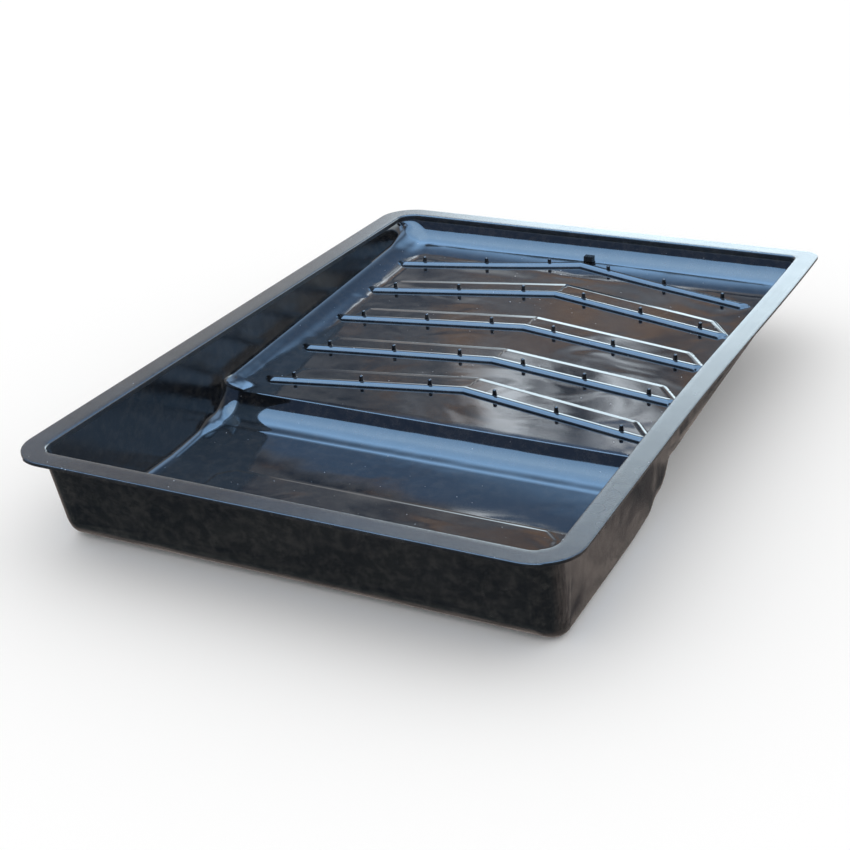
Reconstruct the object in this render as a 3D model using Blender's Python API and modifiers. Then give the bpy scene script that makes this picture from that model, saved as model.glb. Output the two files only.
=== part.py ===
"""Paint roller tray: a black plastic sheet formed into a deep paint well and a sloping ribbed ramp.

Metres, +Z up. X runs across the tray and +Y runs from the paint well up the ramp. The origin is under
the middle of the tray, on the surface that the well's floor rests on. The tray is one sheet of plastic
with a constant thickness. It is divided here into the regions that a person would name, with a hairline
gap between neighbours, and the raised details of the ramp stand on the ramp deck in its own sloping frame.
"""

from math import atan2, pi, radians, sin, tan

import bmesh
import bpy
from mathutils import Vector

# Overall size
WIDTH = 0.270
LENGTH = 0.393
HEIGHT = 0.050
SHEET = 0.0018
GAP = 0.0003

# Rim flange: a flat band around the mouth, and the roll of its inner edge down into the walls
RIM_WIDTH = 0.0115
RIM_ROLL = 0.0025
RIM_DEPTH = 0.003

# Mouth of the cavity, measured between the flange's inner edges
MOUTH_X = WIDTH / 2 - RIM_WIDTH
MOUTH_Y = LENGTH / 2 - RIM_WIDTH

# Cavity: inner side profile, as Y and Z of its theoretical corners
SIDE_DRAFT = radians(1)
FRONT_DRAFT = radians(13)
SIDE_RADIUS = 0.010
FLOOR_Z = SHEET
FRONT_FOOT = (-MOUTH_Y + (HEIGHT - FLOOR_Z) * tan(FRONT_DRAFT), FLOOR_Z)
STEP_FOOT = (-0.0465, FLOOR_Z)
LIP = (-0.033, 0.0175)
CREASE = (0.178, 0.034)
BACK_KNEE = (0.1845, 0.039)
FRONT_FOOT_RADIUS = 0.012
STEP_FOOT_RADIUS = 0.014
LIP_RADIUS = 0.0025
BACK_KNEE_RADIUS = 0.0105
FILLET_STEPS = 6

# Where the sheet is divided
SEAM_INSET = 0.0099
MITRE_GAP = GAP / 2 ** 0.5
FLOOR_BACK_Y = STEP_FOOT[0] - 0.0064
LIP_SEAM_Y = LIP[0] + 0.0012
MARGIN = 0.030

# Ramp details, in the deck's frame: X across, S up the slope from the lip, N off the deck
DECK_ANGLE = atan2(CREASE[1] - LIP[1], CREASE[0] - LIP[0])
RIB_RISES = (0.0205, 0.0165, 0.0190, 0.0255, 0.0260)
FIRST_RIB_END = 0.013
RIB_PITCH = 0.0403
RIB_REACH = 0.1045
RIB_TIP = 0.0045
RIB_DEPTH = 0.005
RIB_TOP = 0.0022
RIB_EDGE = 0.0008
PANEL_DEPTH = 0.017
PANEL_REACH = 0.096
PANEL_TOP = 0.0009
PIN_XS = (-0.0925, -0.0555, -0.0185, 0.0185, 0.0555, 0.0925)
PIN_RADIUS = 0.00115
PIN_TOP = 0.0045
PIN_SETBACK = 0.0034
LUG_SIZE = (0.0064, 0.0045, 0.0065)
LUG_X = 0.0035
LUG_FRONT_S = 0.2062
LUG_POCKET = 0.0019
LUG_POCKET_SPACING = 0.0028

BLACK_PLASTIC = (0.012, 0.013, 0.016, 1.0)
GLOSS_ROUGHNESS = 0.16
SATIN_ROUGHNESS = 0.38


def clear_scene():
    for old in list(bpy.data.objects):
        bpy.data.objects.remove(old, do_unlink=True)


def new_collection(name):
    collection = bpy.data.collections.new(name)
    bpy.context.scene.collection.children.link(collection)
    return collection


def plastic(name, roughness):
    material = bpy.data.materials.new(name)
    material.use_nodes = True
    shader = material.node_tree.nodes["Principled BSDF"]
    shader.inputs["Base Color"].default_value = BLACK_PLASTIC
    shader.inputs["Roughness"].default_value = roughness
    shader.inputs["Metallic"].default_value = 0.0
    material.diffuse_color = BLACK_PLASTIC
    return material


def add_object(name, mesh, collection, roughness=None):
    piece = bpy.data.objects.new(name, mesh)
    collection.objects.link(piece)
    if roughness is not None:
        piece.data.materials.clear()
        piece.data.materials.append(plastic(name + "_plastic", roughness))
    return piece


def mesh_from(bm, name):
    bmesh.ops.recalc_face_normals(bm, faces=bm.faces[:])
    mesh = bpy.data.meshes.new(name)
    bm.to_mesh(mesh)
    bm.free()
    return mesh


def rounded_outline(corners):
    """Replace each (point, radius) corner of an open line by an arc of that radius."""
    points = []
    for i, (corner, radius) in enumerate(corners):
        here = Vector(corner)
        if radius == 0.0:
            points.append(here)
            continue
        back = (Vector(corners[i - 1][0]) - here).normalized()
        ahead = (Vector(corners[i + 1][0]) - here).normalized()
        half_angle = back.angle(ahead) / 2
        centre = here + (back + ahead).normalized() * radius / sin(half_angle)
        start = here + back * radius / tan(half_angle) - centre
        end = here + ahead * radius / tan(half_angle) - centre
        sweep = pi - 2 * half_angle
        for step in range(FILLET_STEPS + 1):
            t = step / FILLET_STEPS
            points.append(centre + (start * sin((1 - t) * sweep) + end * sin(t * sweep)) / sin(sweep))
    return points


def cavity_profile():
    return rounded_outline([
        ((-MOUTH_Y, HEIGHT), 0.0),
        (FRONT_FOOT, FRONT_FOOT_RADIUS),
        (STEP_FOOT, STEP_FOOT_RADIUS),
        (LIP, LIP_RADIUS),
        (CREASE, 0.0),
        (BACK_KNEE, BACK_KNEE_RADIUS),
        ((MOUTH_Y, HEIGHT), 0.0),
    ])


def half_width_at(z):
    return MOUTH_X - (HEIGHT - z) * tan(SIDE_DRAFT)


def front_wall_at(z):
    return -MOUTH_Y + (HEIGHT - z) * tan(FRONT_DRAFT)


def add_rim(bm):
    """Turn the mouth's boundary outwards into the flange, and round the edge between the two."""
    mouth = [edge for edge in bm.edges if edge.is_boundary]
    outer = bmesh.ops.extrude_edge_only(bm, edges=mouth)["geom"]
    for vert in (item for item in outer if isinstance(item, bmesh.types.BMVert)):
        core_x = max(-MOUTH_X + SIDE_RADIUS, min(MOUTH_X - SIDE_RADIUS, vert.co.x))
        core_y = max(-MOUTH_Y + SIDE_RADIUS, min(MOUTH_Y - SIDE_RADIUS, vert.co.y))
        outward = Vector((vert.co.x - core_x, vert.co.y - core_y, 0.0)).normalized()
        vert.co += outward * RIM_WIDTH
    inner_edge = [edge for edge in mouth if edge.is_valid]
    bmesh.ops.bevel(bm, geom=inner_edge, offset=RIM_ROLL, segments=4, profile=0.5, affect="EDGES")


def sheet_surface():
    """The tray's inner face as one open surface: the cavity's side profile drawn across the tray."""
    bm = bmesh.new()
    side = bm.faces.new([bm.verts.new((-1.0, y, z)) for y, z in cavity_profile()])
    extruded = bmesh.ops.extrude_face_region(bm, geom=[side])["geom"]
    for vert in (item for item in extruded if isinstance(item, bmesh.types.BMVert)):
        vert.co.x = 1.0
    for vert in bm.verts:
        vert.co.x *= half_width_at(vert.co.z)
    bmesh.ops.recalc_face_normals(bm, faces=bm.faces[:])
    outline = [
        edge for edge in bm.edges
        if edge.verts[0].co.x * edge.verts[1].co.x > 0
        and min(vert.co.z for vert in edge.verts) < HEIGHT - GAP
    ]
    bmesh.ops.bevel(bm, geom=outline, offset=SIDE_RADIUS, segments=FILLET_STEPS, profile=0.5,
                    affect="EDGES", clamp_overlap=False)
    bmesh.ops.remove_doubles(bm, verts=bm.verts[:], dist=0.00002)
    lid = [face for face in bm.faces if all(vert.co.z > HEIGHT - 0.00001 for vert in face.verts)]
    bmesh.ops.delete(bm, geom=lid, context="FACES")
    add_rim(bm)
    mesh = bpy.data.meshes.new("tray_sheet")
    bm.to_mesh(mesh)
    bm.free()
    return mesh


def mirrored(plan):
    return [(-x, y) for x, y in plan]


def both_sides(plan):
    return plan + mirrored(plan)


def rim_end_plan(z):
    """Half of the front or back side of the flange, mitred at 45 degrees through the corner."""
    reach = (WIDTH / 2, LENGTH / 2)
    return [(reach[0] + MARGIN - MITRE_GAP, reach[1] + MARGIN), (reach[0] - MARGIN - MITRE_GAP, reach[1] - MARGIN)]


def rim_side_plan(z):
    reach = (WIDTH / 2, LENGTH / 2)
    end = [(reach[0] - MARGIN, reach[1] - MARGIN - MITRE_GAP), (reach[0] + MARGIN, reach[1] + MARGIN - MITRE_GAP)]
    return end + [(x, -y) for x, y in end]


def front_wall_plan(z):
    x, y = half_width_at(z), front_wall_at(z)
    return [(x + MARGIN - MITRE_GAP, y - MARGIN), (x - SEAM_INSET - MITRE_GAP, y + SEAM_INSET)]


def well_side_plan(z):
    x, y = half_width_at(z), front_wall_at(z)
    front = [(x + MARGIN, y - MARGIN + MITRE_GAP), (x - SEAM_INSET, y + SEAM_INSET + MITRE_GAP)]
    return front + [(x - SEAM_INSET, LIP_SEAM_Y), (x + MARGIN, LIP_SEAM_Y)]


def back_mitre(z):
    """Two points of the seam at the back corner: the crease's end, and a point far outside the mouth."""
    x, rise = half_width_at(z), MOUTH_Y - CREASE[0]
    return (x - SEAM_INSET, CREASE[0]), (x + 2 * SEAM_INSET, CREASE[0] + 3 * rise)


def ramp_side_plan(z):
    x = half_width_at(z)
    inner, outer = back_mitre(z)
    front = [(x - SEAM_INSET, LIP_SEAM_Y + GAP), (x + MARGIN, LIP_SEAM_Y + GAP)]
    back = [(x + MARGIN, outer[1] - GAP), (outer[0], outer[1] - GAP)]
    return front + back + [(inner[0], inner[1] - GAP)]


def back_wall_plan(z):
    return [(x - GAP, y) for x, y in back_mitre(z)]


def middle_plan(z, front, back):
    """Half of a region between the side seams, from front to back."""
    x = half_width_at(z) - SEAM_INSET - GAP
    return [(x, front), (x, back)]


def floor_plan(z):
    return middle_plan(z, front_wall_at(z) + SEAM_INSET + GAP, FLOOR_BACK_Y)


def step_plan(z):
    return middle_plan(z, FLOOR_BACK_Y + GAP, LIP_SEAM_Y)


def deck_plan(z):
    return middle_plan(z, LIP_SEAM_Y + GAP, CREASE[0] - GAP)


def region(name, plan, z_range, cutters):
    """A convex block that picks one region out of the sheet: its plan at two heights, hulled."""
    bm = bmesh.new()
    for z in z_range:
        for x, y in plan(z):
            bm.verts.new((x, y, z))
    bmesh.ops.convex_hull(bm, input=bm.verts[:])
    block = add_object(name + "_region", mesh_from(bm, name + "_region"), cutters)
    block.hide_render = True
    block.display_type = "WIRE"
    return block


def sheet_regions():
    rim = (HEIGHT - RIM_DEPTH + GAP, HEIGHT + MARGIN)
    body = (-MARGIN, HEIGHT - RIM_DEPTH)
    return {
        "rim_front": (lambda z: [(x, -y) for x, y in both_sides(rim_end_plan(z))], rim),
        "rim_back": (lambda z: both_sides(rim_end_plan(z)), rim),
        "rim_left": (lambda z: mirrored(rim_side_plan(z)), rim),
        "rim_right": (rim_side_plan, rim),
        "well_front_wall": (lambda z: both_sides(front_wall_plan(z)), body),
        "well_left_wall": (lambda z: mirrored(well_side_plan(z)), body),
        "well_right_wall": (well_side_plan, body),
        "well_floor": (lambda z: both_sides(floor_plan(z)), body),
        "step_wall": (lambda z: both_sides(step_plan(z)), body),
        "ramp_deck": (lambda z: both_sides(deck_plan(z)), body),
        "ramp_left_wall": (lambda z: mirrored(ramp_side_plan(z)), body),
        "ramp_right_wall": (ramp_side_plan, body),
        "back_wall": (lambda z: both_sides(back_wall_plan(z)), body),
    }


def add_sheet_pieces(parts, cutters):
    surface = sheet_surface()
    for name, (plan, z_range) in sheet_regions().items():
        roughness = SATIN_ROUGHNESS if name.startswith("rim") else GLOSS_ROUGHNESS
        piece = add_object(name, surface.copy(), parts, roughness)
        thicken = piece.modifiers.new("sheet", "SOLIDIFY")
        thicken.thickness = SHEET
        thicken.offset = 1.0
        thicken.use_even_offset = True
        pick = piece.modifiers.new("region", "BOOLEAN")
        pick.operation = "INTERSECT"
        pick.object = region(name, plan, z_range, cutters)


def slab(outline, bottom, top, edge):
    """A flat outline given as (x, s) points, raised off the deck, with its top edges rounded."""
    bm = bmesh.new()
    face = bm.faces.new([bm.verts.new((x, s, bottom)) for x, s in outline])
    bmesh.ops.recalc_face_normals(bm, faces=[face])
    raised = bmesh.ops.extrude_face_region(bm, geom=[face])["geom"]
    for vert in (item for item in raised if isinstance(item, bmesh.types.BMVert)):
        vert.co.z = top
    upper = [item for item in bm.edges if all(abs(vert.co.z - top) < 1e-6 for vert in item.verts)]
    if edge > 0.0:
        bmesh.ops.bevel(bm, geom=upper, offset=edge, segments=3, profile=0.5, affect="EDGES")
    return bm


def rib_front(rib, x):
    """S of a rib's front edge at X: straight arms that rise to an apex on the centre line."""
    end = FIRST_RIB_END + rib * RIB_PITCH
    return end + RIB_RISES[rib] * (1 - abs(x) / RIB_REACH)


def arm_outline(rib, side):
    """One arm of a rib, from the centre line to its slanting outer end."""
    tip = RIB_REACH + RIB_TIP
    points = [
        (GAP / 2, rib_front(rib, 0.0)),
        (RIB_REACH, rib_front(rib, RIB_REACH)),
        (tip, rib_front(rib, tip) + RIB_DEPTH),
        (GAP / 2, rib_front(rib, 0.0) + RIB_DEPTH),
    ]
    return [(side * x, s) for x, s in points]


def panel_outline(rib):
    """The shallow chevron panel behind a rib, with its outer back corners cut off."""
    tip = RIB_REACH + RIB_TIP
    half = [
        (tip, rib_front(rib, tip) + RIB_DEPTH + GAP),
        (PANEL_REACH, rib_front(rib, PANEL_REACH) + PANEL_DEPTH),
    ]
    apex_front = (0.0, rib_front(rib, 0.0) + RIB_DEPTH + GAP)
    apex_back = (0.0, rib_front(rib, 0.0) + PANEL_DEPTH)
    return [apex_front] + half + [apex_back] + mirrored(half)[::-1]


def on_deck(piece, deck):
    piece.parent = deck
    return piece


def add_ribs(parts, deck):
    for rib in range(len(RIB_RISES)):
        for side, word in ((-1, "left"), (1, "right")):
            name = f"rib_{rib + 1}_{word}"
            bm = slab(arm_outline(rib, side), GAP, RIB_TOP, RIB_EDGE)
            on_deck(add_object(name, mesh_from(bm, name), parts, GLOSS_ROUGHNESS), deck)


def add_panels(parts, deck):
    """Panels stand behind every rib but the last, which has the back wall behind it."""
    for rib in range(len(RIB_RISES) - 1):
        name = f"drain_panel_{rib + 1}"
        bm = slab(panel_outline(rib), GAP, PANEL_TOP, 0.0)
        on_deck(add_object(name, mesh_from(bm, name), parts, GLOSS_ROUGHNESS), deck)


def add_pins(parts, deck):
    """Six small pins along the back shoulder of each rib."""
    height = PIN_TOP - RIB_TOP - GAP
    for rib in range(len(RIB_RISES)):
        for place, x in enumerate(PIN_XS):
            name = f"pin_{rib + 1}_{place + 1}"
            bm = bmesh.new()
            bmesh.ops.create_cone(bm, cap_ends=True, segments=12, radius1=PIN_RADIUS, radius2=PIN_RADIUS,
                                  depth=height)
            crown = [edge for edge in bm.edges if all(vert.co.z > 0 for vert in edge.verts)]
            bmesh.ops.bevel(bm, geom=crown, offset=PIN_RADIUS * 0.45, segments=2, profile=0.5, affect="EDGES")
            pin = on_deck(add_object(name, mesh_from(bm, name), parts, GLOSS_ROUGHNESS), deck)
            pin.location = (x, rib_front(rib, x) + PIN_SETBACK, RIB_TOP + GAP + height / 2)


def add_lug(parts, cutters, deck):
    """A small square block behind the last rib, with four square pockets in its front."""
    width, depth, height = LUG_SIZE
    bm = bmesh.new()
    bmesh.ops.create_cube(bm, size=1.0)
    bmesh.ops.scale(bm, vec=(width, depth, height), verts=bm.verts[:])
    top = [edge for edge in bm.edges if abs(edge.verts[0].co.x - edge.verts[1].co.x) < GAP
           and all(vert.co.z > 0 for vert in edge.verts)]
    bmesh.ops.bevel(bm, geom=top, offset=0.0009, segments=3, profile=0.5, affect="EDGES")
    lug = on_deck(add_object("back_lug", mesh_from(bm, "back_lug"), parts, GLOSS_ROUGHNESS), deck)
    lug.location = (LUG_X, LUG_FRONT_S + depth / 2, GAP + height / 2)

    pockets = bmesh.new()
    for x in (-LUG_POCKET_SPACING / 2, LUG_POCKET_SPACING / 2):
        for z in (-LUG_POCKET_SPACING / 2, LUG_POCKET_SPACING / 2):
            cube = bmesh.ops.create_cube(pockets, size=LUG_POCKET)["verts"]
            bmesh.ops.translate(pockets, verts=cube, vec=(x, -depth / 2, z))
    cutter = add_object("lug_pockets", mesh_from(pockets, "lug_pockets"), cutters)
    cutter.parent = lug
    cutter.hide_render = True
    cutter.display_type = "WIRE"
    cut = lug.modifiers.new("pockets", "BOOLEAN")
    cut.operation = "DIFFERENCE"
    cut.object = cutter


def main():
    clear_scene()
    parts = new_collection("paint_roller_tray")
    cutters = new_collection("cutters")
    add_sheet_pieces(parts, cutters)
    deck = add_object("deck_frame", None, parts)
    deck.location = (0.0, LIP[0], LIP[1])
    deck.rotation_euler.x = DECK_ANGLE
    add_ribs(parts, deck)
    add_panels(parts, deck)
    add_pins(parts, deck)
    add_lug(parts, cutters, deck)


main()
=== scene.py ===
"""Looks of the paint roller tray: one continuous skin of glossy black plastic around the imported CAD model.

Metres, in the CAD's frame: X across the tray, +Y from the paint well up the ramp, +Z up. The skin follows the
CAD's side profile and adds what a moulded sheet shows: coves between deck and walls, a curved step, rounded
beads with their panels blended into the deck, and a satin flange.
"""

from math import atan2, cos, pi, radians, sin, sqrt, tan

import bmesh
import bpy
from mathutils import Matrix, Vector


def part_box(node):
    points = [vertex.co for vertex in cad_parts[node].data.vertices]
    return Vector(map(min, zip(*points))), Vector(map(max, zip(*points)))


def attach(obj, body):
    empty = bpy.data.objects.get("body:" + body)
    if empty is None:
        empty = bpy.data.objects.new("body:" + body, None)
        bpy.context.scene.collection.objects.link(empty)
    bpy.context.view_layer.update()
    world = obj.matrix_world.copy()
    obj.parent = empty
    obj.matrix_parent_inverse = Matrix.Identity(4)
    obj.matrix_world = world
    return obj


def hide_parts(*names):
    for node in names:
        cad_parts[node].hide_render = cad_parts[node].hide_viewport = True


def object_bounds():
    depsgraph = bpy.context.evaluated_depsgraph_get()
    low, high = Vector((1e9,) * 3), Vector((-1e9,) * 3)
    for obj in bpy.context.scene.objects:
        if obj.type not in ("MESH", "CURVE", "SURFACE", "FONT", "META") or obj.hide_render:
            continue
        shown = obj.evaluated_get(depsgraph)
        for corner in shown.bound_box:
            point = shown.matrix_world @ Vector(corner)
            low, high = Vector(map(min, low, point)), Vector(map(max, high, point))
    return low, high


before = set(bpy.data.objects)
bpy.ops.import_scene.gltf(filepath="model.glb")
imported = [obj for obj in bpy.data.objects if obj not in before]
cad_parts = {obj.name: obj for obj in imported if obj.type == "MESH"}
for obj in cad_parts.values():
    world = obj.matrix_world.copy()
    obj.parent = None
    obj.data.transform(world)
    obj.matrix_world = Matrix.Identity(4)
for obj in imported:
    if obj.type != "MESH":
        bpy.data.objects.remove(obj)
CAD_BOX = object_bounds()

# Sizes of the CAD model that the skin follows
HEIGHT = CAD_BOX[1].z
HALF_WIDTH = CAD_BOX[1].x
HALF_LENGTH = CAD_BOX[1].y
SHEET = 0.0018
RIM_WIDTH = 0.0115
RIM_ROLL = 0.0012
RIM_EDGE = 0.0004
SHARP_CORNER = 0.0085
SPLIT_Z = HEIGHT - 0.003
MOUTH_X = HALF_WIDTH - RIM_WIDTH
MOUTH_Y = HALF_LENGTH - RIM_WIDTH
SIDE_DRAFT = radians(1)
FRONT_DRAFT = radians(13)

# Inner side profile, as (Y, Z)
FRONT_FOOT = (-MOUTH_Y + (HEIGHT - SHEET) * tan(FRONT_DRAFT), SHEET)
FRONT_FOOT_RADIUS = 0.012
FLOOR_CURVE_START = (-0.0890, SHEET)
FLOOR_TILTS = (radians(3.2), radians(6.9))
STEP_CREASE = (-0.0520, 0.0051)
STEP_TILTS = (radians(17), radians(65))
STEP_HANDLES = (0.0045, 0.0138)
LIP = (-0.033, 0.0175)
LIP_RADIUS = 0.0008
DECK_ANGLE = atan2(0.034 - 0.0175, 0.178 + 0.033)
DECK_END_RISE = 0.0021
DECK_END_START = 0.1870
DECK_END = 0.2088
BACK_TILTS = (radians(20), radians(88))
BACK_HANDLES = (0.0065, 0.0020)

# How far the coves lean back along the profile
FLOOR_END_LIFT = radians(14)
STEP_FOOT_LIFT = radians(15)
STEP_LIFTS = (radians(16), radians(50))
DECK_START_LIFT = radians(15)
DECK_END_EXTRA_LIFT = radians(6)
BACK_FOOT_LIFT = radians(12)

# Along the deck, from the lip: where its coves and their lean change
DECK_ENTRY = 0.012
DECK_COVE_LENGTH = 0.190
BACK_COVE_START = 0.190
BACK_COVE_LENGTH = 0.020
BACK_LIFT_START = 0.192
BACK_LIFT_LENGTH = 0.018

# Ribs and their panels, in the deck's frame: S runs up the slope from the lip. A rise is how much further up
# a rib's apex lies than its ends. A tip is how much wider its rear edge is than its front edge, on each side.
# A slope is (length, share): over that length behind an edge, the top climbs by that share of its height.
# Side -1 is left and side 1 is right.
RIB_RISES = (0.0205, 0.0165, 0.0190, 0.0255, 0.0260)
FIRST_RIB_END = 0.013
RIB_PITCH = 0.0403
RIB_REACH = 0.1045
RIB_TIP = 0.0045
RIB_DEPTH = 0.0056
RIB_HEIGHT = 0.0020
RIB_FRONT_RADIUS = 0.0034
RIB_REAR_RADIUS = 0.0009
RIB_REAR_SLOPE = (0.0024, 0.17)
RIB_END_SLANT = 0.757
PANEL_DEPTH = 0.019
PANEL_REACH = 0.096
PANEL_HEIGHTS = {-1: 0.00035, 1: 0.00085}
PANEL_EDGE = 0.0007
PANEL_REAR_SLOPE = (0.0034, 0.50)
PANEL_FRONT_SHARE = 0.85
PANEL_SPLIT_SLOPE = 0.15
RELIEF_MARGIN = 0.001
# Relief is added only to points this close to the profile, not up on the side walls
RELIEF_REACH = 0.012

# Lug and pins
LUG_SHARE = 0.85
LUG_CELLS = (4, 3, 4)
LUG_WALL = 0.00028
LUG_POCKET_DRAFT = 0.00012
LUG_POCKET_DEPTH = 0.0004
PIN_XS = (-0.0925, -0.0555, -0.0185, 0.0185, 0.0555, 0.0925)
PIN_RADIUS = 0.00110
PIN_SINK = 0.0006
PIN_DOME = 0.0006
PIN_TOP = 0.0051
PIN_SETBACK = 0.0043

# Raised panel of the well's floor
FLOOR_PANEL_X = 0.091
FLOOR_PANEL_FRONT = -0.160
FLOOR_PANEL_BACK = -0.0890
FLOOR_PANEL_CHAMFER = 0.007
FLOOR_PANEL_HEIGHT = 0.00007
FLOOR_PANEL_EDGE = 0.0006

# Numbers of rows along the profile
FRONT_WALL_ROWS = 6
FRONT_FOOT_ROWS = 12
FLOOR_ROWS = 11
FLOOR_EDGE_ROWS = 22
FLOOR_EDGE_SPACING = 0.0005
FLOOR_RISE_ROWS = 22
STEP_ROWS = 24
LIP_ROWS = 10
DECK_GAP_ROWS = 5
DECK_END_ROWS = 10
PANEL_ROWS = 18
BACK_ROWS = 28
# S offsets from a rib's front edge, close together where the bead turns
BEAD_ROWS = (-0.0012, -0.0004, 0.0, 0.00008, 0.0002, 0.0004, 0.0007, 0.0011, 0.0016, 0.0022, 0.0029,
             0.0034, 0.0038, 0.0042, 0.0046, 0.0049, 0.0052, 0.0054, 0.0055, 0.0056, 0.0060)
# The same before a panel's rear edge, where it rounds off
PANEL_REAR_GAPS = (0.0034, 0.0028, 0.0022, 0.0016, 0.0012, 0.0009, 0.0008, 0.0007, 0.0008,
                   0.0006, 0.0004, 0.0002, 0.0001, 0.0, -0.0003, -0.0010)

# Columns across one half of a row: shares of the level part, close together towards the side wall
MIDDLE_STEPS = (0.0, 0.004, 0.010, 0.018, 0.028, 0.045, 0.07, 0.10, 0.14, 0.19, 0.25, 0.32, 0.40, 0.48,
                0.56, 0.62, 0.66, 0.69)
FINE_START = 0.70
FINE_STEPS = 54
FLAT_STEPS = MIDDLE_STEPS + tuple(
    FINE_START + (1 - FINE_START) * i / FINE_STEPS for i in range(FINE_STEPS + 1))
COVE_STEPS = 34
WALL_STEPS = 7
COVE_FULLNESS = 0.55

# Mesh clean-up distances, and the angles above which an edge stays sharp, in degrees
MERGE_DISTANCE = 2e-6
THIN_DISTANCE = 1e-6
BODY_SHARP = 38
FLANGE_SHARP = 50
PIN_SHARP = 60
LUG_SHARP = 25

# The real tray's right edge bows outward towards the back
BOW = 0.0056
BOW_START = -0.060

# Cove between the profile and the side wall: width, height, start angle of the wall, wall inset.
# A name may have its own shape on the left and on the right.
COVES = {
    "corner_left": (0.0080, 0.0080, radians(90), 0.0),
    "corner_right": (0.0100, 0.0100, radians(90), 0.0),
    "well": (0.0048, 0.0040, radians(90), 0.0),
    "step": (0.0090, 0.0090, radians(90), 0.0),
    "ramp_front_left": (0.0200, 0.0050, radians(42), 0.0),
    "ramp_front_right": (0.0080, 0.0060, radians(65), 0.0),
    "ramp_back_left": (0.0200, 0.0046, radians(38), 0.0035),
    "ramp_back_right": (0.0080, 0.0060, radians(65), 0.0),
    "back_crease_left": (0.0170, 0.0070, radians(62), 0.0030),
    "back_crease_right": (0.0070, 0.0060, radians(75), 0.0),
    "back_corner_left": (0.0100, 0.0100, radians(90), 0.0),
    "back_corner_right": (0.0045, 0.0045, radians(90), 0.0),
}
SIDE_NAMES = {-1: "left", 1: "right"}

# Camera
CAMERA_PLACE = (0.3157, -0.6659, 0.3490)
CAMERA_AZIMUTH = radians(26.8673)
CAMERA_ELEVATION = radians(25.1626)
CAMERA_ROLL = radians(-2.4212)
CAMERA_LENS = 65.41
SENSOR_WIDTH = 36.0

# Plastic: colours, and the finish of the sheet and of the flange
BLACK = (0.0045, 0.0050, 0.0060)
FADED_BLACK = (0.0190, 0.0185, 0.0180)
DUST = (0.30, 0.31, 0.33)
GLOSS = {
    "roughness": 0.060, "spread": 0.02, "wave": 0.00042,
    "grain": 0.000003, "grain_scale": 1800.0, "dust": 1.0,
}
SATIN = {
    "roughness": 0.23, "spread": 0.05, "wave": 0.00012,
    "grain": 0.00004, "grain_scale": 1400.0, "dust": 1.6,
}

# The garden that the plastic mirrors
STUDIO_WHITE = (1.08, 1.08, 1.08)
LOW_SKY, MIDDLE_SKY, HIGH_SKY = (0.38, 0.66, 1.15), (3.0, 5.4, 8.8), (4.6, 7.3, 10.8)
GLOW = (2.2, 3.5, 5.4)
DARK_LEAVES, LEAVES, LIGHT_LEAVES = (0.10, 0.16, 0.27), (0.55, 0.62, 0.74), (1.7, 1.85, 2.1)
TRUNKS = (1.05, 0.70, 0.50)
PALE_LEAVES = (1.25, 1.25, 1.25)
HAZE = (1.40, 1.42, 1.48)
LEAF_GAPS = (5.4, 5.9, 6.4)
OPENING = (4.9, 5.9, 6.5)
HEDGE_FOOT, HEDGE = (0.60, 0.85, 1.25), (0.26, 0.42, 0.78)
DARK_SOIL, SOIL = (0.05, 0.055, 0.065), (0.62, 0.53, 0.48)
DARK_SHADE, SHADE, FAR_SHADE = (0.05, 0.07, 0.09), (0.20, 0.22, 0.22), (0.40, 0.48, 0.60)
FLOOR_WHITE = (0.94, 0.94, 0.94, 1.0)


def lerp(a, b, t):
    return a + (b - a) * t


def clamp(value, low=0.0, high=1.0):
    return max(low, min(high, value))


def ease(t):
    t = clamp(t)
    return t * t * (3 - 2 * t)


def half_width_at(z):
    return MOUTH_X - (HEIGHT - z) * tan(SIDE_DRAFT)


# ---------------------------------------------------------------------------------------------
# Side profile: a list of stations, each a dict with its point, its lift direction and its cove


def arc_between(start, end, tilts, steps):
    """Points from start to end whose tilt turns evenly between the two tilts, scaled to meet the end."""
    points = [Vector((0.0, 0.0))]
    for i in range(steps):
        tilt = lerp(tilts[0], tilts[1], (i + 0.5) / steps)
        points.append(points[-1] + Vector((cos(tilt), sin(tilt))))
    reach = points[-1]
    scale = Vector(((end[0] - start[0]) / reach.x, (end[1] - start[1]) / reach.y))
    return [(start[0] + p.x * scale.x, start[1] + p.y * scale.y) for p in points]


def fillet(before, corner, after, radius, steps):
    """Points of the arc that rounds a corner, from the side of before to the side of after."""
    here = Vector(corner)
    back = (Vector(before) - here).normalized()
    ahead = (Vector(after) - here).normalized()
    half = back.angle(ahead) / 2
    centre = here + (back + ahead).normalized() * radius / sin(half)
    start = here + back * radius / tan(half) - centre
    end = here + ahead * radius / tan(half) - centre
    sweep = pi - 2 * half
    points = []
    for i in range(steps + 1):
        t = i / steps
        p = centre + (start * sin((1 - t) * sweep) + end * sin(t * sweep)) / sin(sweep)
        points.append((p.x, p.y))
    return points


def deck_point(s):
    """The deck is straight and curls up a little before the back wall."""
    curl = clamp((s - DECK_END_START) / (DECK_END - DECK_END_START), 0.0, 1.2)
    return (LIP[0] + s * cos(DECK_ANGLE), LIP[1] + s * sin(DECK_ANGLE) + DECK_END_RISE * curl * curl)


def lip_start():
    """Where the deck's straight part starts, as S."""
    turn = STEP_TILTS[1] - DECK_ANGLE
    return LIP_RADIUS * tan(turn / 2)


def cove(name):
    """The cove's shape on each side."""
    return {side: COVES.get(f"{name}_{word}") or COVES[name] for side, word in SIDE_NAMES.items()}


def mix_coves(first, second, t):
    return {side: tuple(lerp(a, b, t) for a, b in zip(first[side], second[side])) for side in SIDE_NAMES}


def blend_cove(first, second, t):
    return mix_coves(cove(first), cove(second), ease(t))


def station(point, lift, shape, s=None, rise=0.0):
    return {"y": point[0], "z": point[1], "lift": lift, "cove": shape, "s": s, "rise": rise}


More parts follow.
